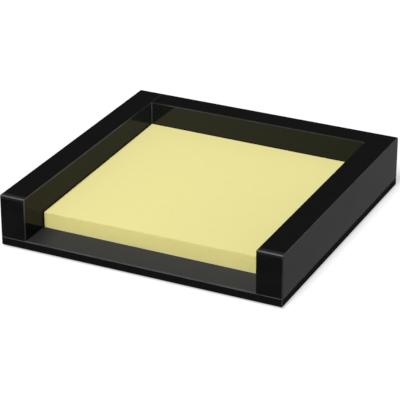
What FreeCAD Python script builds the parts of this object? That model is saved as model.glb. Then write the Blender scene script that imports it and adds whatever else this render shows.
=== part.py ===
import FreeCAD, Part
import Sketcher
import os

# A desk note box made of acrylic sheet, open at the front, with a pad of notes lying in it.
# The side walls and the back wall are thick blocks glued on a thin base plate.
# X runs to the right, Y to the back and Z up, all in millimetres.
# The origin is the middle of the box's footprint, on the surface that the feet stand on.

doc = FreeCAD.newDocument("NoteBox")

# Driving sizes
SIZES = [
    ("paper_width", 75.0, "sheet of the pad, from left to right"),
    ("paper_depth", 75.0, "sheet of the pad, from front to back"),
    ("free_height", 5.6, "height of the pad at its loose front edge"),
    ("gummed_height", 6.2, "height of the pad at its gummed back edge"),
    ("side_play", 3.4, "inside width that the pad leaves over"),
    ("left_gap", 0.3, "from the left wall to the pad"),
    ("back_gap", 0.3, "from the back wall to the pad"),
    ("finger_gap", 11.4, "from the pad to the open front"),
    ("wall_thickness", 8.8, "the three wall blocks"),
    ("wall_height", 14.3, "the three wall blocks, above the base plate"),
    ("base_thickness", 3.0, "base plate"),
    ("edge_break", 0.3, "flat scraped along every free edge of the acrylic"),
    ("foot_diameter", 10.0, "rubber disc"),
    ("foot_height", 0.6, "rubber disc"),
    ("foot_break", 0.15, "softened lower rim of the rubber disc"),
    ("foot_inset", 10.0, "from the outer faces to the middle of a foot"),
]

sheet = doc.addObject("Spreadsheet::Sheet", "Sizes")
for line, (alias, value, meaning) in enumerate(SIZES, start=1):
    sheet.set(f"A{line}", alias)
    sheet.set(f"B{line}", str(value))
    sheet.setAlias(f"B{line}", alias)
    sheet.set(f"C{line}", meaning)
doc.recompute()

# Sizes that follow from the driving ones
INNER_WIDTH = "(Sizes.paper_width + Sizes.side_play)"
BOX_WIDTH = f"({INNER_WIDTH} + 2 * Sizes.wall_thickness)"
INNER_DEPTH = "(Sizes.finger_gap + Sizes.paper_depth + Sizes.back_gap)"
BOX_DEPTH = f"({INNER_DEPTH} + Sizes.wall_thickness)"
LEFT = f"(-{BOX_WIDTH} / 2)"
RIGHT = f"({BOX_WIDTH} / 2)"
FRONT = f"(-{BOX_DEPTH} / 2)"
BACK = f"({BOX_DEPTH} / 2)"
INNER_LEFT = f"({LEFT} + Sizes.wall_thickness)"
INNER_RIGHT = f"({RIGHT} - Sizes.wall_thickness)"
INNER_BACK = f"({BACK} - Sizes.wall_thickness)"
DESK = "0"
BASE_BOTTOM = "Sizes.foot_height"
BASE_TOP = "(Sizes.foot_height + Sizes.base_thickness)"

# Edges nearer to a plane than this lie in it
SAME_PLANE = 1e-6


# Bodies, sketches and their places
def new_body(label):
    body = doc.addObject("PartDesign::Body", label)
    body.Label = label
    return body


def own_plane(body, role):
    return next(item for item in body.Origin.OriginFeatures if item.Role == role)


def new_sketch(body, role):
    sketch = body.newObject("Sketcher::SketchObject", body.Name + "_outline")
    sketch.AttachmentSupport = [(own_plane(body, role), "")]
    sketch.MapMode = "FlatFace"
    return sketch


def add_outline(sketch, points):
    """Closed outline of straight lines, with its first corner on the sketch's origin."""
    ends = points[1:] + points[:1]
    for start, end in zip(points, ends):
        sketch.addGeometry(Part.LineSegment(FreeCAD.Vector(*start, 0), FreeCAD.Vector(*end, 0)))
    for line in range(len(points)):
        following = (line + 1) % len(points)
        sketch.addConstraint(Sketcher.Constraint("Coincident", line, 2, following, 1))
    sketch.addConstraint(Sketcher.Constraint("Coincident", 0, 1, -1, 1))


def bind_length(sketch, name, kind, line, expression, ends=(1, 2)):
    """A named length of one line of the outline, bound to the sizes."""
    number = sketch.addConstraint(Sketcher.Constraint(kind, line, ends[0], line, ends[1], 1.0))
    sketch.renameConstraint(number, name)
    sketch.setExpression("Constraints." + name, expression)


def pad_outline(body, sketch, expression):
    pad = body.newObject("PartDesign::Pad", body.Name + "_pad")
    pad.Profile = sketch
    pad.setExpression("Length", expression)
    sketch.Visibility = False
    return pad


def place(body, x, y, z):
    body.setExpression("Placement.Base.x", x)
    body.setExpression("Placement.Base.y", y)
    body.setExpression("Placement.Base.z", z)


def lies_in(edge, axis, level):
    """Whether the whole edge lies in the plane at this level of the X, Y or Z axis."""
    ends = [getattr(edge.BoundBox, axis + limit) for limit in ("Min", "Max")]
    return all(abs(end - level) < SAME_PLANE for end in ends)


def edge_names(feature, wanted):
    return [f"Edge{number}" for number, edge in enumerate(feature.Shape.Edges, start=1) if wanted(edge)]


def chamfer(body, base, edges, expression):
    cut = body.newObject("PartDesign::Chamfer", body.Name + "_edges")
    cut.Base = (base, edges)
    cut.setExpression("Size", expression)


# Acrylic blocks and plates
def acrylic_plate(label, width, depth, height, corner, glued=()):
    """Sawn plate with its free edges broken. Round a glued face they stay sharp, to close the seam."""
    body = new_body(label)
    sketch = new_sketch(body, "XY_Plane")
    add_outline(sketch, [(0, 0), (1, 0), (1, 1), (0, 1)])
    for line, direction in enumerate(["Horizontal", "Vertical", "Horizontal", "Vertical"]):
        sketch.addConstraint(Sketcher.Constraint(direction, line))
    bind_length(sketch, "width", "DistanceX", 0, width)
    bind_length(sketch, "depth", "DistanceY", 1, depth)
    pad = pad_outline(body, sketch, height)
    place(body, *corner)
    doc.recompute()
    faces = {"underside": ("Z", 0), "left end": ("X", 0), "right end": ("X", pad.Shape.BoundBox.XLength)}
    free = edge_names(pad, lambda edge: not any(lies_in(edge, *faces[face]) for face in glued))
    chamfer(body, pad, free, "Sizes.edge_break")
    return body


base_plate = acrylic_plate(
    "base_plate", BOX_WIDTH, BOX_DEPTH, "Sizes.base_thickness",
    (LEFT, FRONT, BASE_BOTTOM))

left_wall = acrylic_plate(
    "left_wall", "Sizes.wall_thickness", BOX_DEPTH, "Sizes.wall_height",
    (LEFT, FRONT, BASE_TOP), glued=["underside"])

right_wall = acrylic_plate(
    "right_wall", "Sizes.wall_thickness", BOX_DEPTH, "Sizes.wall_height",
    (INNER_RIGHT, FRONT, BASE_TOP), glued=["underside"])

back_wall = acrylic_plate(
    "back_wall", INNER_WIDTH, "Sizes.wall_thickness", "Sizes.wall_height",
    (INNER_LEFT, INNER_BACK, BASE_TOP), glued=["underside", "left end", "right end"])


# Pad of notes, a little higher at the back, where each sheet carries its strip of gum
def pad_of_notes(label):
    body = new_body(label)
    sketch = new_sketch(body, "YZ_Plane")
    add_outline(sketch, [(0, 0), (1, 0), (1, 1), (0, 1)])
    sketch.addConstraint(Sketcher.Constraint("Horizontal", 0))
    sketch.addConstraint(Sketcher.Constraint("Vertical", 1))
    sketch.addConstraint(Sketcher.Constraint("Vertical", 3))
    bind_length(sketch, "depth", "DistanceX", 0, "Sizes.paper_depth")
    bind_length(sketch, "gummed", "DistanceY", 1, "Sizes.gummed_height")
    bind_length(sketch, "free", "DistanceY", 3, "Sizes.free_height", ends=(2, 1))
    pad_outline(body, sketch, "Sizes.paper_width")
    place(body, f"{INNER_LEFT} + Sizes.left_gap", f"{FRONT} + Sizes.finger_gap", BASE_TOP)
    return body


note_pad = pad_of_notes("note_pad")


# Rubber feet
def rubber_foot(label, x, y):
    body = new_body(label)
    sketch = new_sketch(body, "XY_Plane")
    sketch.addGeometry(Part.Circle(FreeCAD.Vector(0, 0, 0), FreeCAD.Vector(0, 0, 1), 1))
    sketch.addConstraint(Sketcher.Constraint("Coincident", 0, 3, -1, 1))
    number = sketch.addConstraint(Sketcher.Constraint("Diameter", 0, 2.0))
    sketch.renameConstraint(number, "diameter")
    sketch.setExpression("Constraints.diameter", "Sizes.foot_diameter")
    pad = pad_outline(body, sketch, "Sizes.foot_height")
    place(body, x, y, DESK)
    doc.recompute()
    chamfer(body, pad, edge_names(pad, lambda edge: lies_in(edge, "Z", 0)), "Sizes.foot_break")
    return body


ROWS = {"front": f"{FRONT} + Sizes.foot_inset", "back": f"{BACK} - Sizes.foot_inset"}
SIDES = {"left": f"{LEFT} + Sizes.foot_inset", "right": f"{RIGHT} - Sizes.foot_inset"}
feet = []
for row, y in ROWS.items():
    for side, x in SIDES.items():
        feet.append(rubber_foot(f"{row}_{side}_foot", x, y))

doc.recompute()

# Nothing is written unless every object is sound
pieces = [base_plate, left_wall, right_wall, back_wall, note_pad] + feet
for item in doc.Objects:
    if "Invalid" in item.State or "Error" in item.State:
        raise RuntimeError(f"{item.Label} did not rebuild: {item.State}")
for piece in pieces:
    if piece.Shape.isNull() or not piece.Shape.isValid() or len(piece.Shape.Solids) != 1:
        raise RuntimeError(f"{piece.Label} is not one sound solid")

os.makedirs("parts", exist_ok=True)
for piece in pieces:
    piece.Shape.exportStep(os.path.join("parts", piece.Label + ".step"))
    box = piece.Shape.BoundBox
    print(f"{piece.Label}: X {box.XMin:.2f} to {box.XMax:.2f}, Y {box.YMin:.2f} to {box.YMax:.2f}, "
          f"Z {box.ZMin:.2f} to {box.ZMax:.2f}, {piece.Shape.Volume / 1000:.3f} cm3")
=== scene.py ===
# %% [markdown]
# # A desk note box in black acrylic
# Three thick walls of black acrylic are cemented on a thin base plate, the front is left open for
# a finger, and a pad of pale yellow sticky notes lies inside. A scene could model all of that by
# itself, but then its sizes would drift away from the construction. So this one starts from the
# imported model, which holds every piece at its real size and place, and gives each piece the
# surface that a maker would leave on it. Nothing in that frame is moved. All lengths are in metres.

# %% Load the frame
import bmesh
import bpy
import math
import random
from mathutils import Matrix, Vector


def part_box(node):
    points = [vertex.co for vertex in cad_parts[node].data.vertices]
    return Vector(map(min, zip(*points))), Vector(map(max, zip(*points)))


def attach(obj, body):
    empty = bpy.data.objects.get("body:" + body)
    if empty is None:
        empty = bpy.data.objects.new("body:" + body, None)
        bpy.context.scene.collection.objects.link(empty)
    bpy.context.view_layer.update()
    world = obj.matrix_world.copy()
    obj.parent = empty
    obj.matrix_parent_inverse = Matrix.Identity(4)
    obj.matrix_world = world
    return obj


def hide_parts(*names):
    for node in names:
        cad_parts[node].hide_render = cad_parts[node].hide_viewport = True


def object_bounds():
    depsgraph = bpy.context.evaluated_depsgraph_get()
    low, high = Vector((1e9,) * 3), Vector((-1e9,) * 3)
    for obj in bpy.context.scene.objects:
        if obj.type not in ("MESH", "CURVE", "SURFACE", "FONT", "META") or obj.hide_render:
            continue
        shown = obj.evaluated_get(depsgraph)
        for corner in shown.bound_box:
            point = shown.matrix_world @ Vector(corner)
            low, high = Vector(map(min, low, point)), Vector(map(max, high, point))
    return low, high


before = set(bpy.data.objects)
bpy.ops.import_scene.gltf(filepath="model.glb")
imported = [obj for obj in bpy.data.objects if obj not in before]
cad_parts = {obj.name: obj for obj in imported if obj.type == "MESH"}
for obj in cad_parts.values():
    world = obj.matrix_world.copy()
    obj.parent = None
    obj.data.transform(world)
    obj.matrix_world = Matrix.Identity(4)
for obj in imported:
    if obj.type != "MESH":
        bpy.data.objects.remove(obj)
cad_low, cad_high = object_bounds()
BODY = "root"
MM = 0.001


def in_mm(lengths):
    return [round(length / MM, 2) for length in lengths]


print("pieces in the frame:", sorted(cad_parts))
print("whole box in mm:", in_mm(cad_high - cad_low))

# %% [markdown]
# ## One shader for each finish
# Acrylic, paper and rubber differ in three things: the colour of the body, the gloss and a fine
# relief. Each finish could be mixed from several shaders, but the Principled shader holds all
# three, and other programs can read it. What is the same all over a surface is typed into the
# shader's own socket, and only what changes from place to place comes from nodes. That keeps a
# finish short and easy to read.

# %% A finish and its nodes
def new_finish(name, **sockets):
    """A material with one Principled shader, its sockets set to plain values."""
    finish = bpy.data.materials.new(name)
    finish.use_nodes = True
    shader = finish.node_tree.nodes["Principled BSDF"]
    for socket, value in sockets.items():
        shader.inputs[socket.replace("_", " ")].default_value = value
    return finish, finish.node_tree, shader


def add_node(tree, kind, **settings):
    """A node, with its named sockets or its own properties set."""
    node = tree.nodes.new(kind)
    for key, value in settings.items():
        if key in node.inputs:
            node.inputs[key].default_value = value
        else:
            setattr(node, key, value)
    return node


def grey(level):
    return (level, level, level, 1.0)


print("a black that gives back one percent is written", grey(0.01))

# %% [markdown]
# ## Patterns with a real size
# No real surface is quite even: it has smudges, saw lines or specks of pulp. Such a pattern could
# be painted on an image, but an image has to be wrapped round the piece, and it blurs close up. A
# noise is worked out at every point of the surface instead, however near one looks. The helper
# takes the real size of a speck, so that a pattern is written down as one would measure it. Three
# different lengths draw the specks out to lines.

# %% Grain
def grain(tree, size, detail=3.0):
    """A soft noise between 0 and 1, its specks of one size or of three sizes for X, Y and Z."""
    sides = size if isinstance(size, tuple) else (size, size, size)
    where = add_node(tree, "ShaderNodeTexCoord")
    scaled = add_node(tree, "ShaderNodeMapping")
    scaled.inputs["Scale"].default_value = [1 / side for side in sides]
    noise = add_node(tree, "ShaderNodeTexNoise", Scale=1.0, Detail=detail)
    tree.links.new(where.outputs["Object"], scaled.inputs["Vector"])
    tree.links.new(scaled.outputs["Vector"], noise.inputs["Vector"])
    return noise.outputs["Fac"]


SMUDGE = 22 * MM
print("smudges on the gloss are about", in_mm([SMUDGE]), "mm across")

# %% [markdown]
# ## From a pattern to a colour or a number
# A noise is only a grey value, and it keeps near the middle: hardly any of it is under 0.3 or over
# 0.7. Put straight into a socket it would be far too strong a pattern. So one helper turns it into
# a colour between two near neighbours and another into a number between two limits, and both
# stretch the range that the noise really uses over the whole step. A Color Ramp does the first and
# a Map Range the second.

# %% Colour and number
NOISE_LOW, NOISE_HIGH = 0.3, 0.7


def ramp(tree, factor, first, second, start=NOISE_LOW, stop=NOISE_HIGH):
    """A colour that goes from the first to the second as the factor rises."""
    colours = add_node(tree, "ShaderNodeValToRGB")
    ends = colours.color_ramp.elements
    ends[0].position, ends[0].color = start, first
    ends[1].position, ends[1].color = stop, second
    tree.links.new(factor, colours.inputs["Fac"])
    return colours.outputs["Color"]


def spread(tree, factor, first, second, start=NOISE_LOW, stop=NOISE_HIGH):
    """A number that goes from the first to the second as the factor goes from start to stop."""
    span = add_node(tree, "ShaderNodeMapRange")
    span.inputs["From Min"].default_value = start
    span.inputs["From Max"].default_value = stop
    span.inputs["To Min"].default_value = first
    span.inputs["To Max"].default_value = second
    tree.links.new(factor, span.inputs["Value"])
    return span.outputs["Result"]


print("the noise is used from", NOISE_LOW, "to", NOISE_HIGH)

# %% [markdown]
# ## Changes that depend on the place
# Some marks aren't left to chance: haze gathers in the back corners, and cement lies along a seam.
# A painted mask could say where they are. A run along one axis does the same with three nodes, and
# because its two ends are measured from the walls, it stays right for a box of another size.

# %% Where the walls are, and a run between two places
wall_low, wall_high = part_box("left_wall")
inner_left = wall_high.x
inner_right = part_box("right_wall")[0].x
inner_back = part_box("back_wall")[0].y


def reach(tree, axis, start, stop):
    """Rises from 0 to 1 between two places on one axis."""
    where = add_node(tree, "ShaderNodeTexCoord")
    spot = add_node(tree, "ShaderNodeSeparateXYZ")
    tree.links.new(where.outputs["Object"], spot.inputs[0])
    return spread(tree, spot.outputs[axis], 0.0, 1.0, start, stop)


def both(tree, first, second):
    """Multiplying two runs leaves only the part where both are near 1."""
    product = add_node(tree, "ShaderNodeMath", operation="MULTIPLY")
    tree.links.new(reach(tree, *first), product.inputs[0])
    tree.links.new(reach(tree, *second), product.inputs[1])
    return product.outputs[0]


print("inner faces in mm, left, right and back:", in_mm((inner_left, inner_right, inner_back)))

# %% [markdown]
# ## Two patterns in one finish
# Few surfaces carry one pattern only: gloss has smudges and haze, and dried cement has drops and a
# paler top. Two materials could be laid over each other, but each would bring its own gloss. So
# the patterns are put together before they reach the shader. A colour goes over into another one
# along a run, which is what a Mix node does, and a number gets a share of a second pattern added.

# %% Two patterns together
def shade(colour, share=1.0):
    return (*(level * share for level in colour), 1.0)


def blend(tree, run, first, second, way="MIX"):
    """From the first colour to the second along the run. Each is plain or comes from a node."""
    mixed = add_node(tree, "ShaderNodeMix", data_type="RGBA", blend_type=way)
    tree.links.new(run, mixed.inputs["Factor"])
    for side, colour in (("A", first), ("B", second)):
        if isinstance(colour, tuple):
            mixed.inputs[side].default_value = colour
        else:
            tree.links.new(colour, mixed.inputs[side])
    return mixed.outputs["Result"]


def add_share(tree, base, extra, share):
    """The base pattern plus a share of the extra one."""
    total = add_node(tree, "ShaderNodeMath", operation="MULTIPLY_ADD")
    total.inputs[1].default_value = share
    tree.links.new(extra, total.inputs[0])
    tree.links.new(base, total.inputs[2])
    return total.outputs[0]


print("a plain colour for a blend, at half its strength:", shade((0.8, 0.8, 0.4), 0.5))

# %% [markdown]
# ## Finish: the gloss of the sheet
# Cast acrylic leaves its mould with a mirror-smooth skin. The black body under it gives back
# almost no light, so all that shows is what the skin reflects: the pale floor outside and the
# yellow pad inside. A glossy black base would do, but base and mirror would then share one
# roughness. Here a clear coat lies over a nearly black matt base, and the weight of the coat says
# how strong the mirror is. It is weaker than on bare acrylic, because the box was lit so that
# the glare on its sides nearly goes out, and it drifts a little, as on a skin that was handled.
# Along a run the mirror can lose a share of its weight and the grey of the body shift a little, as
# painted sheen and painted shade.

# %% Gloss skin
SKIN_BODY = (0.0050, 0.0058, 0.0058)
BODY_DRIFT = 0.13
MIRROR_DRIFT = 0.05
# Share of the mirror lost along a painted run of sheen and shade:
MIRROR_LOST_ON_RUN = 0.36


def gloss_skin(name, mirror, body=SKIN_BODY, painted_run=None, painted_colour=None):
    """Along the painted run the mirror loses a share of its weight, and the body goes over to the
    painted colour: painted sheen and shade.
    """
    finish, tree, shader = new_finish(
        name, Roughness=0.5, Specular_IOR_Level=0.0, Coat_Roughness=0.015, Coat_IOR=1.49)
    smudges = grain(tree, SMUDGE)
    colour = ramp(tree, smudges, shade(body, 1 - BODY_DRIFT), shade(body, 1 + BODY_DRIFT))
    weight = spread(tree, smudges, mirror * (1 + MIRROR_DRIFT), mirror * (1 - MIRROR_DRIFT))
    if painted_run:
        # Painted sheen and shade: along the run the body goes over to the painted colour and the
        # mirror weakens.
        run = reach(tree, *painted_run)
        colour = blend(tree, run, colour, shade(painted_colour))
        weight = add_share(tree, weight, run, -MIRROR_LOST_ON_RUN * mirror)
    tree.links.new(colour, shader.inputs["Base Color"])
    tree.links.new(weight, shader.inputs["Coat Weight"])
    return finish


outer_skin = gloss_skin("outer_face_gloss", mirror=0.23)
print("gloss of the outer faces:", outer_skin.name)

# %% [markdown]
# ## The same gloss inside the box
# The inner faces are the same skin, with a mirror of their own and a bluer body, a painted sheen.
# One material could serve both sides if it knew which way a face looks. Two more calls of the same
# function are plainer: each states its own mirror, and where its painted run goes. On the side walls
# it runs to the back, paler and bluer, a painted sheen, and on the back wall from the left corner to
# the right one, darker, a painted shade.

# %% Gloss inside
# Bluer body than outside, growing paler and bluer towards the back: painted sheen.
inner_skin = gloss_skin(
    "inner_face_gloss", mirror=0.285, body=(0.0067, 0.0086, 0.0100),
    painted_run=("Y", wall_low.y, inner_back), painted_colour=(0.0198, 0.0242, 0.0312))
# Body growing darker from left to right, with a weaker mirror: painted shade.
back_skin = gloss_skin(
    "back_wall_gloss", mirror=0.60, body=(0.0078, 0.0087, 0.0087),
    painted_run=("X", inner_left, inner_right), painted_colour=(0.0065, 0.0085, 0.0070))
print("gloss of the inner faces:", inner_skin.name, back_skin.name)

# %% [markdown]
# ## Finish: sawn and sanded edges
# The tops and ends of the walls, and the rim of the base plate, are cut through the sheet. The
# saw leaves fine lines across the thickness and sanding dulls them, so an edge is blacker and
# flatter than the skin beside it. Cut into the mesh, those lines would take millions of faces. A
# bump only bends the light, and its depth is the real one, a few thousandths of a millimetre. The
# lines are a noise whose specks are long across the wall and narrow along it. On the side walls a
# painted highlight lies round the front corner, more on the top than on the end. A run to the
# front and a run to the top, multiplied, leave the top and the end pale where they meet.

# %% Sawn edge
SAWN_DARK, SAWN_PALE = 0.0057, 0.0080
SAWN_SMOOTH, SAWN_ROUGH = 0.34, 0.50
SAW_MARK_DEPTH = 0.004 * MM
# Grey and runs of the painted highlight round the front corner of the side walls:
PAINTED_HIGHLIGHT_GREY = 0.029
HIGHLIGHT_ON_TOP = ("Y", wall_low.y + 2.25 * MM, wall_low.y + 0.65 * MM)
HIGHLIGHT_ON_END = ("Z", wall_high.z - 1.3 * MM, wall_high.z)


def relief(tree, shader, height, depth):
    """Bump of a real depth."""
    bump = add_node(tree, "ShaderNodeBump", Distance=depth)
    tree.links.new(height, bump.inputs["Height"])
    tree.links.new(bump.outputs["Normal"], shader.inputs["Normal"])


def sawn_edge(name, lines, gloss=0.004, highlighted=None):
    finish, tree, shader = new_finish(name, Specular_IOR_Level=gloss)
    marks = grain(tree, lines, detail=2.0)
    colour = ramp(tree, marks, grey(SAWN_DARK), grey(SAWN_PALE))
    # Painted highlight where the run to the front and the run to the top meet.
    if highlighted:
        colour = blend(tree, both(tree, *highlighted), colour, grey(PAINTED_HIGHLIGHT_GREY))
    tree.links.new(colour, shader.inputs["Base Color"])
    tree.links.new(spread(tree, marks, SAWN_SMOOTH, SAWN_ROUGH), shader.inputs["Roughness"])
    relief(tree, shader, marks, SAW_MARK_DEPTH)
    return finish


LINE_LENGTH, LINE_WIDTH, LINE_HEIGHT = 8.3 * MM, 0.42 * MM, 3.3 * MM
RIM_MARK = 1.1 * MM
side_edge = sawn_edge(
    "side_wall_sawn_edge", (LINE_LENGTH, LINE_WIDTH, LINE_HEIGHT), highlighted=(HIGHLIGHT_ON_TOP, HIGHLIGHT_ON_END))
back_edge = sawn_edge("back_wall_sawn_edge", (LINE_WIDTH, LINE_LENGTH, LINE_HEIGHT))
rim_edge = sawn_edge("base_plate_sawn_rim", RIM_MARK, gloss=0.0025)
print("saw lines in mm, length and width:", in_mm((LINE_LENGTH, LINE_WIDTH)))

# %% [markdown]
# ## Finish: the scraped corner
# Nobody leaves a saw-sharp corner on acrylic: it is drawn off with a scraper. The narrow flat
# that is left is frosted, so it looks grey on the black and draws the thin pale line round every
# block. The line could be faked with an edge mask, which only works in one renderer. A real flat
# with a finish of its own holds everywhere. Scrapers chatter, so the grey comes and goes along
# the corner. Along a shaded run the grey thins out, as painted shade.

# %% Scraped corner
CHATTER = 6 * MM
CHATTER_DRIFT = 0.28
FROST = 0.2 * MM
FROST_DEPTH = 0.01 * MM
# Share of the paleness left where painted shade dims a corner:
SHADED_SHARE = 0.3


def scraped_corner(name, pale, shaded_runs=()):
    """A frosted flat, its paleness a painted highlight. At the start of each shaded run only a share
    of the paleness is left, as painted shade.
    """
    finish, tree, shader = new_finish(name, Roughness=0.55, Specular_IOR_Level=0.1)
    chatter = grain(tree, CHATTER, detail=4.0)
    colour = ramp(tree, chatter, grey(pale * (1 - CHATTER_DRIFT)), grey(pale * (1 + CHATTER_DRIFT)))
    # Painted shade along each shaded run.
    for run in shaded_runs:
        colour = blend(tree, reach(tree, *run), grey(pale * SHADED_SHARE), colour)
    tree.links.new(colour, shader.inputs["Base Color"])
    relief(tree, shader, grain(tree, FROST), FROST_DEPTH)
    return finish


front_corner = scraped_corner("front_corner_frosted", pale=0.099)
print("palest corner of the walls:", front_corner.name)

# %% [markdown]
# ## The corners of the walls
# Each kind of corner gets its own paleness, a painted highlight on the frosted grey, and the corners
# that face the user are the palest. Inside, painted shade dims the last stretch of the side walls
# near the back wall, and the start of the back wall near the left wall. Along the back wall the
# line fades from left to right, again painted shade. Of the upright corners only the left wall's
# inner ones are pale, fading towards the base plate, and the others are nearly black. One finish
# for all corners would draw every line equally strong, and the box would look like a wire drawing.

# %% Corners of the walls
# Runs of painted shade on the corners:
NEAR_BACK_WALL = ("Y", inner_back - 10 * MM, inner_back - 23 * MM)
NEAR_LEFT_WALL = ("X", inner_left + 2 * MM, inner_left + 8 * MM)
NEAR_BASE_PLATE = ("Z", wall_low.z + 5.5 * MM, wall_low.z + 10.5 * MM)
FADING_TO_THE_RIGHT = ("X", inner_right + 20 * MM, inner_left + 15 * MM)
# Each paleness below is a painted highlight, and each shaded run a painted shade.
side_inner = scraped_corner("side_wall_inner_corner", pale=0.059, shaded_runs=[NEAR_BACK_WALL])
side_outer = scraped_corner("side_wall_outer_corner", pale=0.057)
pale_upright = scraped_corner("pale_upright_corner", pale=0.072, shaded_runs=[NEAR_BASE_PLATE])
plain_upright = scraped_corner("plain_upright_corner", pale=0.025)
back_inner = scraped_corner(
    "back_wall_inner_corner", pale=0.030, shaded_runs=[FADING_TO_THE_RIGHT, NEAR_LEFT_WALL])
back_outer = scraped_corner("back_wall_outer_corner", pale=0.026)
print("wall corners:", side_inner.name, side_outer.name, pale_upright.name, back_inner.name)

# %% [markdown]
# ## The acrylic blocks
# Each wall is a sawn block: two faces keep the gloss of the sheet, the rest are sawn, and the free
# corners are scraped. Round a glued face the corners stay sharp, so that the seam closes. A cube
# with a Bevel modifier has the same form, but then one material would have to find out by itself
# which face is which. In bmesh each face gets its finish from the way it looks, and the bevel hands
# a finish to the new flats. One flat per corner is enough, because a scraper leaves no rounding.
# The size comes from the frame, so a block fills exactly the room that the construction gives it.

# %% Which finish a face gets
OUTER, INNER, SAWN = range(3)
INNER_CORNER, OUTER_CORNER, FRONT_CORNER, INNER_OTHER, OUTER_OTHER = range(3, 8)
MOSTLY = 0.5
SLIGHTLY = 0.2


def looks_in(face, axis):
    """Whether a face looks along this axis towards the middle of the box."""
    along = face.normal[axis]
    return abs(along) > SLIGHTLY and along * face.calc_center_median()[axis] < 0


def face_kind(face, kept_axis):
    """The skin of the sheet looks along the kept axis, and every other face is sawn."""
    if abs(face.normal[kept_axis]) < MOSTLY:
        return SAWN
    return INNER if looks_in(face, kept_axis) else OUTER


def corner_kind(face, kept_axis):
    """The top corners are seen most. The others are the upright and the lower ones."""
    inside = looks_in(face, kept_axis)
    if face.normal.z < SLIGHTLY:
        return INNER_OTHER if inside else OUTER_OTHER
    if face.normal.y < -SLIGHTLY:
        return FRONT_CORNER
    return INNER_CORNER if inside else OUTER_CORNER


print("kinds of face on a block:", OUTER_OTHER + 1)

# %% [markdown]
# ## From a mesh to a piece of the box
# A bmesh is only a workbench. To show, it becomes a mesh with its list of finishes, and an object
# that carries it. Everything that is modelled here goes through these steps, so one function holds
# them. A second one says what a piece of the box belongs to: it rides on a body of the model, and
# it may stand for an imported piece, which is then hidden.

# %% New piece
def new_object(name, mesh, finishes):
    data = bpy.data.meshes.new(name)
    mesh.to_mesh(data)
    mesh.free()
    for finish in finishes:
        data.materials.append(finish)
    made = bpy.data.objects.new(name, data)
    bpy.context.collection.objects.link(made)
    return made


def new_piece(name, mesh, finishes, node=None):
    piece = new_object(name, mesh, finishes)
    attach(piece, BODY)
    if node:
        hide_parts(node)
    return piece


# %% [markdown]
# ## Shaping one block
# The block starts as a unit cube that a matrix stretches into its room. The glued faces are named
# by their axis and side, and every edge that doesn't lie in one of them is bevelled by the width
# of the scraper's flat.

# %% One block
EDGE_BREAK = 0.3 * MM
SAME_PLANE = 0.001 * MM
X, Y, Z = range(3)


def lies_in(edge, axis, level):
    return all(abs(end.co[axis] - level) < SAME_PLANE for end in edge.verts)


def acrylic_block(name, node, kept_axis, finishes, glued=()):
    """A bevelled block. Each glued face is an axis and 0 for its low or 1 for its high side."""
    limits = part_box(node)
    low, high = limits
    mesh = bmesh.new()
    room = Matrix.Translation((low + high) / 2) @ Matrix.Diagonal((*(high - low), 1.0))
    bmesh.ops.create_cube(mesh, size=1.0, matrix=room)
    for face in mesh.faces:
        face.material_index = face_kind(face, kept_axis)
    planes = [(axis, limits[side][axis]) for axis, side in glued]
    free = [edge for edge in mesh.edges if not any(lies_in(edge, *plane) for plane in planes)]
    bmesh.ops.bevel(
        mesh, geom=free, offset=EDGE_BREAK, offset_type="OFFSET", segments=1, affect="EDGES",
        material=INNER_CORNER)
    mesh.normal_update()
    for face in mesh.faces:
        if face.material_index == INNER_CORNER:
            face.material_index = corner_kind(face, kept_axis)
    print(name, "in mm:", in_mm(high - low), "with", len(free), "scraped corners")
    return new_piece(name, mesh, finishes, node)


print("flat of the scraper in mm:", in_mm([EDGE_BREAK]))

# %% [markdown]
# ## The three walls
# The side walls run the full depth of the box, and the back wall stands between them, so its ends
# are glued as well as its foot. The list of finishes has one entry for each kind of face, in the
# order in which the kinds were numbered. The two side walls could be one mesh used twice, but they
# are mirror images with their skins facing different ways, so each is made for itself.

# %% The three walls
side_finishes = [outer_skin, inner_skin, side_edge, side_inner, side_outer, front_corner]
left_finishes = side_finishes + [pale_upright, plain_upright]
right_finishes = side_finishes + [plain_upright, plain_upright]
back_finishes = [
    outer_skin, back_skin, back_edge, back_inner, back_outer, back_inner, back_outer, back_outer]
left_wall = acrylic_block(
    "left_wall_block", "left_wall", X, left_finishes, glued=[(Z, 0)])
right_wall = acrylic_block(
    "right_wall_block", "right_wall", X, right_finishes, glued=[(Z, 0)])
back_wall = acrylic_block(
    "back_wall_block", "back_wall", Y, back_finishes,
    glued=[(Z, 0), (X, 0), (X, 1)])
print("walls:", left_wall.name, right_wall.name, back_wall.name)

# %% [markdown]
# ## Finish: dried cement
# Solvent cement melts the two sheets together, and what is squeezed out dries to a cloudy grey
# with a slight shine. Beside the yellow pad it only looks grey because it is a little blue. It
# gathers in drops, which are a noise. Adding a run of the height to it makes the upper part
# paler, a painted highlight, without hiding the drops. A gradient alone would look airbrushed.

# %% Dried cement
DROP = (3.3 * MM, 3.3 * MM, 5.5 * MM)
# Cement greys: drops vary between them, and the paler top is a painted highlight.
DARK_CEMENT, PALE_CEMENT_AND_HIGHLIGHT = (0.0205, 0.0205, 0.0275), (0.081, 0.081, 0.110)
DARK_UP_TO, PALE_FROM = 0.4, 1.0
HIGHLIGHT_TO_THE_TOP = 0.5


def cement(name):
    finish, tree, shader = new_finish(
        name, Roughness=0.35, Specular_IOR_Level=0.2, Coat_Roughness=0.1, Coat_Weight=0.15)
    # Run of the height for the painted highlight at the top.
    height = reach(tree, "Z", wall_low.z, wall_high.z)
    drops_and_highlight = add_share(tree, grain(tree, DROP), height, HIGHLIGHT_TO_THE_TOP)
    colour = ramp(tree, drops_and_highlight, shade(DARK_CEMENT), shade(PALE_CEMENT_AND_HIGHLIGHT), DARK_UP_TO, PALE_FROM)
    tree.links.new(colour, shader.inputs["Base Color"])
    return finish


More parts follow.
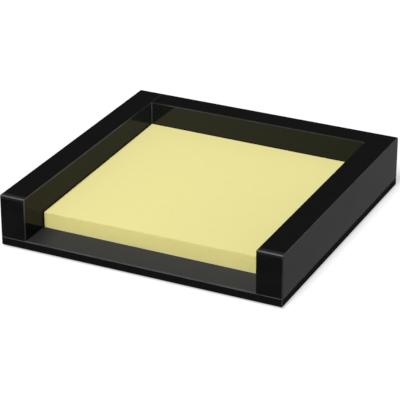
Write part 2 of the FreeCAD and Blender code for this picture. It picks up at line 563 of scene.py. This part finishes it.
dried_cement = cement("dried_cement")
print("cement:", dried_cement.name, "with drops in mm:", in_mm(DROP))

# %% [markdown]
# ## Cement in the upright corners
# Where the back wall meets a side wall, a thin bead of cement stays in the corner and catches the
# light as a fine line. A round wire would fill the corner, but a liquid pulled into a corner has a
# hollow front. So the outline is the corner itself and a hollow arc between the two walls, and two
# such outlines, at the foot and at the top, are joined to a strip.

# %% Cement beads
BEAD = 0.24 * MM
BEAD_STEPS = 5


def bead_outline(corner_x, away):
    """The corner, then a hollow arc. Away is 1 where the bead opens towards +X, else -1."""
    outline = [(corner_x, inner_back)]
    for step in range(BEAD_STEPS + 1):
        turn = math.pi / 2 * step / BEAD_STEPS
        out = BEAD * (1 - math.sin(turn))
        forward = BEAD * (1 - math.cos(turn))
        outline.append((corner_x + away * out, inner_back - forward))
    return outline


def cement_strip(name, finish, start, end):
    """A closed strip from one outline to another with as many points."""
    mesh = bmesh.new()
    near = [mesh.verts.new(point) for point in start]
    far = [mesh.verts.new(point) for point in end]
    mesh.faces.new(near)
    mesh.faces.new(far)
    for first in range(len(near)):
        second = (first + 1) % len(near)
        mesh.faces.new((near[first], near[second], far[second], far[first]))
    bmesh.ops.recalc_face_normals(mesh, faces=mesh.faces)
    return new_piece(name, mesh, [finish])


def cement_bead(name, corner_x, away):
    outline = bead_outline(corner_x, away)
    foot, top = wall_low.z, wall_high.z - EDGE_BREAK
    return cement_strip(
        name, dried_cement, [(x, y, foot) for x, y in outline], [(x, y, top) for x, y in outline])


left_bead = cement_bead("left_corner_cement", inner_left, 1)
right_bead = cement_bead("right_corner_cement", inner_right, -1)
print(left_bead.name, "and", right_bead.name, "are", in_mm([BEAD]), "mm wide")

# %% [markdown]
# ## Cement in the top seams
# The side walls are scraped along their whole top, but the ends of the back wall stay sharp, so
# beside each end a small groove is left. Cement filled it and was sanded down with the top. The
# groove could stay open, but then a dark gap would run where a fine pale line of light shows on
# the left and none on the right. So one more strip, between two triangles this time, closes it, and
# its ends slope with the scraped flats of the back wall. On the left it gets a faint pale grey, a
# painted highlight, and on the right the black of the sanded edge beside it.

# %% Cement seams
def cement_seam(name, corner_x, away, finish):
    """Fills the groove beside an end of the back wall. Away points from the side wall to the pad."""
    top = wall_high.z
    section = [
        (corner_x, top, EDGE_BREAK), (corner_x - away * EDGE_BREAK, top, EDGE_BREAK),
        (corner_x, top - EDGE_BREAK, 0.0)]
    front = [(x, inner_back + slope, z) for x, z, slope in section]
    back = [(x, wall_high.y - slope, z) for x, z, slope in section]
    return cement_strip(name, finish, front, back)


# Faint pale grey on the left seam: painted highlight.
seam_highlight_cement = scraped_corner("sanded_cement_frosted", pale=0.018)
left_seam = cement_seam("left_seam_cement", inner_left, 1, seam_highlight_cement)
right_seam = cement_seam("right_seam_cement", inner_right, -1, side_edge)
print(left_seam.name, "and", right_seam.name, "fill a groove of", in_mm([EDGE_BREAK]), "mm")

# %% [markdown]
# ## Finish: the satin floor of the tray
# The base plate is another sheet, with a satin face that doesn't mirror the pad and reads as an
# even dark grey. A plain rough black would do from afar, and look like paint close up: a grain
# finer than a millimetre in colour, roughness and relief makes it a sheet. Along the foot of the
# left wall a painted shade darkens the satin. It clears within a few millimetres, again as a run
# from the wall.

# %% Satin face
SATIN_GRAIN = 0.55 * MM
SATIN_DEPTH = 0.006 * MM
SATIN_DARK, SATIN_PALE = 0.0375, 0.045
SATIN_SMOOTH, SATIN_ROUGH = 0.38, 0.50
# Painted shade along the foot of the left wall:
PAINTED_SHADE_GREY = 0.024
SHADE_BY_LEFT_WALL = ("X", inner_left + 2 * MM, inner_left + 8 * MM)


def satin_face(name, shaded_run):
    finish, tree, shader = new_finish(name, Specular_IOR_Level=0.03)
    texture = grain(tree, SATIN_GRAIN, detail=4.0)
    unshaded = ramp(tree, texture, grey(SATIN_DARK), grey(SATIN_PALE))
    # Painted shade: darker near the left wall.
    colour = blend(tree, reach(tree, *shaded_run), grey(PAINTED_SHADE_GREY), unshaded)
    tree.links.new(colour, shader.inputs["Base Color"])
    tree.links.new(spread(tree, texture, SATIN_SMOOTH, SATIN_ROUGH), shader.inputs["Roughness"])
    relief(tree, shader, texture, SATIN_DEPTH)
    return finish


floor_face = satin_face("base_plate_satin", SHADE_BY_LEFT_WALL)
print("satin face:", floor_face.name, "with a grain in mm:", in_mm([SATIN_GRAIN]))

# %% [markdown]
# ## The base plate
# The plate is a block like the walls, only thin, with its skins above and below. It could have been
# made together with them, but its corners get other painted highlights: the long one in front is
# fairly pale, the side ones palest, and the upright and the lower ones nearly black. No corner of
# it is left sharp, because the walls stand on its flat skin.

# %% The base plate
# Painted highlights: each way a corner faces gets its own paleness.
rim_front = scraped_corner("base_plate_front_corner", pale=0.055)
rim_side = scraped_corner("base_plate_side_corner", pale=0.190)
rim_lower = scraped_corner("base_plate_lower_corner", pale=0.020)
rim_upright = scraped_corner("base_plate_upright_corner", pale=0.030)
base_finishes = [
    floor_face, floor_face, rim_edge, rim_side, rim_side, rim_front, rim_lower, rim_upright]
base_plate = acrylic_block("base_plate_sheet", "base_plate", Z, base_finishes)
print(base_plate.name, "has corners:", rim_front.name, rim_side.name, rim_lower.name, rim_upright.name)

# %% [markdown]
# ## Finish: sticky-note paper
# Pale yellow, uncoated and matt. The pulp shows as a very faint cloudiness and a fine tooth, and
# each sheet takes the dye a little differently, which is only seen on the cut edges of a pad. A
# material for each sheet would do that, and fill the file with copies. Each sheet will be an
# island of the mesh, so the Geometry node's random number per island tints them one by one. A
# sheet can also get a painted shade, a shade greyer where a run to the right and a run to the
# front meet.

# %% Paper
PULP = 2.9 * MM
TOOTH = 0.25 * MM
TOOTH_DEPTH = 0.006 * MM
DYE_SHARE = 0.35
LIGHT_UP_TO, DEEP_FROM = 0.35, 1.0
# Share of colour left under the painted shade:
PAINTED_SHADE_FACTOR = 0.94


def paper(name, light, deep, shaded_area=None):
    finish, tree, shader = new_finish(name, Roughness=0.85, Specular_IOR_Level=0.25)
    island = add_node(tree, "ShaderNodeNewGeometry").outputs["Random Per Island"]
    dye = add_share(tree, grain(tree, PULP, detail=6.0), island, DYE_SHARE)
    colour = ramp(tree, dye, shade(light), shade(deep), LIGHT_UP_TO, DEEP_FROM)
    # Painted shade where the two runs meet.
    if shaded_area:
        colour = blend(tree, both(tree, *shaded_area), colour, grey(PAINTED_SHADE_FACTOR), way="MULTIPLY")
    tree.links.new(colour, shader.inputs["Base Color"])
    relief(tree, shader, grain(tree, TOOTH), TOOTH_DEPTH)
    return finish


# Brighter and warmer than the top note's paper: painted light on the cut edges.
edge_paper_painted_light = paper("note_paper_yellow", light=(0.872, 0.806, 0.322), deep=(0.853, 0.781, 0.297))
print("paper:", edge_paper_painted_light.name, "with pulp in mm:", in_mm([PULP]))

# %% [markdown]
# ## The shape of the pad
# A solid slab would show one flat front. A real pad is about sixty sheets that hold together along
# the back edge only. There each sheet carries its strip of gum, and all the strips together make
# the back a little higher than the loose front edge. The front right corner is lifted a little
# too, where fingers take the notes. Four corner heights say all of that, and the height at any
# other place lies between them.

# %% Height of the pad
pad_low, pad_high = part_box("note_pad")
FRONT_HEIGHTS = (5.2 * MM, 5.9 * MM)
BACK_HEIGHTS = (6.4 * MM, 6.0 * MM)


def between(ends, share):
    return ends[0] + (ends[1] - ends[0]) * share


def pad_height(across, back):
    """Height of the whole pad, for shares 0 to 1 from left to right and from front to back."""
    return between((between(FRONT_HEIGHTS, across), between(BACK_HEIGHTS, across)), back)


print("pad in mm:", in_mm(pad_high - pad_low), "middle height:", in_mm([pad_height(0.5, 0.5)]))

# %% [markdown]
# ## One sheet
# A sheet is a thin slab on a grid, so that it can follow the uneven heights. Its underside lies at
# a share of the pad's height above the backing card. A Solidify modifier on a grid would thicken
# it too, but all the sheets lie in one mesh, where the slab is as easy to write out: two layers of
# points, the faces of both, and a wall of faces round the border.

# %% One sheet
CARD_THICKNESS = 0.30 * MM
GRID = 8
BORDER = (
    [(0, step) for step in range(GRID)] + [(step, GRID) for step in range(GRID)]
    + [(GRID, GRID - step) for step in range(GRID)] + [(GRID - step, 0) for step in range(GRID)])


def sheet_point(row, column, level, shift):
    across, back = column / GRID, row / GRID
    size = pad_high - pad_low
    height = between((CARD_THICKNESS, pad_height(across, back)), level)
    return Vector((
        pad_low.x + size.x * across + shift[0],
        pad_low.y + size.y * back + shift[1],
        pad_low.z + height))


def add_sheet(mesh, level, thickness, shift=(0.0, 0.0)):
    """One slab. Rows run to the back and columns to the right."""
    cells = range(GRID + 1)
    flat = [[sheet_point(row, column, level, shift) for column in cells] for row in cells]
    lower, upper = [
        [[mesh.verts.new(point + Vector((0, 0, rise))) for point in row] for row in flat]
        for rise in (0.0, thickness)]
    for row in range(GRID):
        for column in range(GRID):
            square = [(row, column), (row, column + 1), (row + 1, column + 1), (row + 1, column)]
            mesh.faces.new([upper[r][c] for r, c in square])
            mesh.faces.new([lower[r][c] for r, c in reversed(square)])
    for here, there in zip(BORDER, BORDER[1:] + BORDER[:1]):
        (r, c), (to_r, to_c) = here, there
        mesh.faces.new((lower[r][c], lower[to_r][to_c], upper[to_r][to_c], upper[r][c]))


print("squares of a sheet:", GRID * GRID, "steps round its border:", len(BORDER))

# %% [markdown]
# ## All the sheets
# The sheets are stacked by a loop. The guillotine never cuts a whole pad quite true, so each sheet
# lies up to 0.025 mm off to each side. An Array modifier would repeat the first sheet exactly
# and show none of that. The random numbers start from a fixed seed, so that every run stacks the
# same pad. The loop leaves out the top note, which is made next.

# %% Sheets of the pad
SHEETS = 58
SHEET_THICKNESS = 0.083 * MM
GUILLOTINE_ERROR = 0.025 * MM
SEED = 11
shuffle = random.Random(SEED)


def guillotine_error():
    return [shuffle.uniform(-GUILLOTINE_ERROR, GUILLOTINE_ERROR) for _ in range(2)]


mesh = bmesh.new()
for number in range(SHEETS - 1):
    add_sheet(mesh, number / SHEETS, SHEET_THICKNESS, guillotine_error())
pad = new_piece("note_sheets", mesh, [edge_paper_painted_light], "note_pad")
print("sheets under the top one:", SHEETS - 1, "faces:", len(pad.data.polygons))

# %% [markdown]
# ## The top note
# The top note is the one that shows. Towards the front right it is a shade greyer, a painted
# shade. Of the other notes only the cut edges show, and their paper is a touch brighter and
# warmer, a painted light. The top note could stay in the stack, but then it would be as warm, and
# the grey would also run down the cut edges in front. As a piece of its own it can have the
# shaded paper to itself.

# %% Top note
UNSHADED_WIDTH = 0.4
FULLY_SHADED = 0.8
TO_THE_RIGHT = ("X", between((pad_low.x, pad_high.x), UNSHADED_WIDTH), pad_high.x)
TO_THE_FRONT = ("Y", pad_high.y, between((pad_high.y, pad_low.y), FULLY_SHADED))
# Painted shade towards the front right of the top note.
top_paper = paper(
    "top_note_yellow", light=(0.848, 0.784, 0.332), deep=(0.830, 0.760, 0.306),
    shaded_area=(TO_THE_RIGHT, TO_THE_FRONT))
mesh = bmesh.new()
add_sheet(mesh, (SHEETS - 1) / SHEETS, SHEET_THICKNESS, guillotine_error())
top_note = new_piece("top_note", mesh, [top_paper], "note_pad")
print("top note:", top_note.name, "faces:", len(top_note.data.polygons))

# %% [markdown]
# ## The backing card
# The lowest sheet of a pad is a stiffer, paler card that nobody writes on. It shows as a thin
# light line along the foot of the pad. It could be one more note in another colour, but it is
# thicker and lies flat on the tray, so it is a slab of its own: the same grid at level 0, set down
# by its own thickness.

# %% Card under the pad
card_paper = paper("backing_card_cream", light=(0.78, 0.74, 0.50), deep=(0.72, 0.68, 0.44))
mesh = bmesh.new()
add_sheet(mesh, 0.0, CARD_THICKNESS)
bmesh.ops.translate(mesh, verts=mesh.verts, vec=(0.0, 0.0, -CARD_THICKNESS))
card = new_piece("backing_card", mesh, [card_paper], "note_pad")
print(card.name, "is", in_mm([CARD_THICKNESS]), "mm thick")

# %% [markdown]
# ## Finish: rubber
# The feet are punched out of rubber sheet with a pebbled face. A plain rough black would pass for
# matt paint. What tells rubber from it is that the pebbles stand out clearly while the colour
# hardly changes. So one fine noise drives the colour and the roughness a little, and the relief
# strongly.

# %% Rubber
PEBBLE = 0.38 * MM
PEBBLE_DEPTH = 0.03 * MM
RUBBER_DARK, RUBBER_PALE = 0.014, 0.026
RUBBER_SMOOTH, RUBBER_ROUGH = 0.62, 0.80


def rubber(name):
    finish, tree, shader = new_finish(name, Specular_IOR_Level=0.3)
    pebble = grain(tree, PEBBLE, detail=2.0)
    colour = ramp(tree, pebble, grey(RUBBER_DARK), grey(RUBBER_PALE))
    tree.links.new(colour, shader.inputs["Base Color"])
    tree.links.new(spread(tree, pebble, RUBBER_SMOOTH, RUBBER_ROUGH), shader.inputs["Roughness"])
    relief(tree, shader, pebble, PEBBLE_DEPTH)
    return finish


foot_rubber = rubber("foot_rubber")
print("rubber:", foot_rubber.name, "with pebbles in mm:", in_mm([PEBBLE]))

# %% [markdown]
# ## The rubber feet
# Four thin self-adhesive discs keep the acrylic off the desk. Their rim is straight, and rounded
# where it meets the desk. A cylinder with a bevel would do, but the rounding is wanted on one side
# only. So half of the section is drawn as a profile, from the middle of the top to the middle of
# the underside, and spun round the middle.

# %% Discs
SPIN_STEPS = 48
ROUNDING = 0.18 * MM
ROUNDING_STEPS = 5


def disc_profile(radius, bottom, top):
    """Distances from the middle and heights, from the top face round to the underside."""
    profile = [(0.0, top), (radius, top)]
    for step in range(ROUNDING_STEPS + 1):
        turn = math.pi / 2 * step / ROUNDING_STEPS
        out = radius - ROUNDING + ROUNDING * math.cos(turn)
        profile.append((out, bottom + ROUNDING - ROUNDING * math.sin(turn)))
    return profile + [(0.0, bottom)]


def rubber_disc(name, node):
    low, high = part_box(node)
    middle = (low + high) / 2
    mesh = bmesh.new()
    line = [
        mesh.verts.new((middle.x + out, middle.y, height))
        for out, height in disc_profile((high.x - low.x) / 2, low.z, high.z)]
    edges = [mesh.edges.new(pair) for pair in zip(line, line[1:])]
    bmesh.ops.spin(
        mesh, geom=line + edges, cent=middle, axis=(0, 0, 1), angle=2 * math.pi, steps=SPIN_STEPS)
    bmesh.ops.remove_doubles(mesh, verts=mesh.verts, dist=SAME_PLANE)
    bmesh.ops.recalc_face_normals(mesh, faces=mesh.faces)
    return new_piece(name, mesh, [foot_rubber], node)


feet = [
    rubber_disc(f"{row}_{side}_rubber_disc", f"{row}_{side}_foot")
    for row in ("front", "back") for side in ("left", "right")]
print("feet:", [foot.name for foot in feet], "faces each:", len(feet[0].data.polygons))

# %% [markdown]
# ## The floor
# Black gloss shows nothing but its surroundings, so the studio matters as much as the finish. A
# pale floor runs out of sight. To make it read as white, one could turn the lamps up, and the pad
# would burn out. So the floor adds a little light of its own, for the camera and for mirrors only:
# Light Path tells which ray is asking. It still keeps the soft shadow under the box. It lies a
# hair below the feet, because two faces at the same height flicker.

# %% Floor
FLOOR_SIZE = 6.0
FLOOR_SQUARES = 8
FLOOR_BODY = 0.47
FLOOR_LIFT = 0.58
HAIR = 0.01 * MM


def seen_or_mirrored(tree):
    """1 for a ray from the camera, from a mirror or through glass, and 0 for any other."""
    path = add_node(tree, "ShaderNodeLightPath")
    seen = path.outputs["Is Camera Ray"]
    for ray in ("Is Glossy Ray", "Is Transmission Ray"):
        either = add_node(tree, "ShaderNodeMath", operation="MAXIMUM")
        tree.links.new(seen, either.inputs[0])
        tree.links.new(path.outputs[ray], either.inputs[1])
        seen = either.outputs[0]
    return seen


def pale_floor(name):
    finish, tree, shader = new_finish(
        name, Base_Color=grey(FLOOR_BODY), Roughness=0.9, Specular_IOR_Level=0.0,
        Emission_Color=grey(1.0))
    lift = add_node(tree, "ShaderNodeMath", operation="MULTIPLY")
    lift.inputs[1].default_value = FLOOR_LIFT
    tree.links.new(seen_or_mirrored(tree), lift.inputs[0])
    tree.links.new(lift.outputs[0], shader.inputs["Emission Strength"])
    return finish


mesh = bmesh.new()
bmesh.ops.create_grid(
    mesh, x_segments=FLOOR_SQUARES, y_segments=FLOOR_SQUARES, size=FLOOR_SIZE / 2)
floor = new_object("studio_floor", mesh, [pale_floor("studio_floor")])
floor.location.z = cad_low.z - HAIR
print("floor in metres:", FLOOR_SIZE, "square")

# %% [markdown]
# ## Light
# A pale room lights all sides evenly, and one large soft panel in front, above the camera, gives
# the tops their direction. Several lamps could model the box more, but every lamp shows again in
# the gloss, and the walls should mirror nothing but floor and pad. The panel stands where no
# mirror turns it towards the camera. Both are at a level where white paper still renders as white
# and no more.

# %% Room and panel
ROOM_LEVEL = 0.20
PANEL_PLACE = Vector((0.0, -2.32, 3.26))
PANEL_SIZE = (0.8, 2.0)
PANEL_WATTS = 165.0
LIT_POINT = Vector((0.0, 0.0, 0.01))

room = bpy.data.worlds.new("pale_room")
room.use_nodes = True
room.node_tree.nodes["Background"].inputs["Color"].default_value = grey(1.0)
room.node_tree.nodes["Background"].inputs["Strength"].default_value = ROOM_LEVEL
bpy.context.scene.world = room

lamp = bpy.data.lights.new("front_panel", "AREA")
lamp.shape = "RECTANGLE"
lamp.size, lamp.size_y = PANEL_SIZE
lamp.energy = PANEL_WATTS
panel = bpy.data.objects.new("front_panel", lamp)
panel.location = PANEL_PLACE
panel.rotation_euler = (LIT_POINT - PANEL_PLACE).to_track_quat("-Z", "Y").to_euler()
bpy.context.collection.objects.link(panel)
print("room level:", ROOM_LEVEL, "panel in metres from the box:", round(PANEL_PLACE.length, 2))

# %% [markdown]
# ## Camera
# The portrait was taken with a long lens from the front right, looking down by a little more than
# a quarter of a right angle. A constraint could aim the camera at the box, but then its turn would
# be a result. Here the distance, the turn and the lens are all stated, because they belong
# together: a shorter lens from nearer would spread the sides of the box more. The numbers come
# from laying the real corners of the box over the picture.

# %% Camera
PICTURE_WIDTH = 400
FOCAL_PIXELS = 1934.0
SENSOR_WIDTH = 36.0
TURN, TILT = math.radians(25.71), math.radians(25.52)
FRONT_LEFT_CORNER = Vector((cad_low.x, cad_low.y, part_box("base_plate")[0].z))
CORNER_TO_CAMERA = Vector((291.3, -461.5, 274.3)) * MM

lens = bpy.data.cameras.new("portrait_camera")
lens.sensor_width = SENSOR_WIDTH
lens.lens = FOCAL_PIXELS * SENSOR_WIDTH / PICTURE_WIDTH
camera = bpy.data.objects.new("portrait_camera", lens)
camera.location = FRONT_LEFT_CORNER + CORNER_TO_CAMERA
camera.rotation_euler = (math.pi / 2 - TILT, 0.0, TURN)
bpy.context.collection.objects.link(camera)
bpy.context.scene.camera = camera
bpy.context.scene.view_settings.view_transform = "Standard"
print("lens in mm:", round(lens.lens, 1), "camera in mm:", in_mm(camera.location))
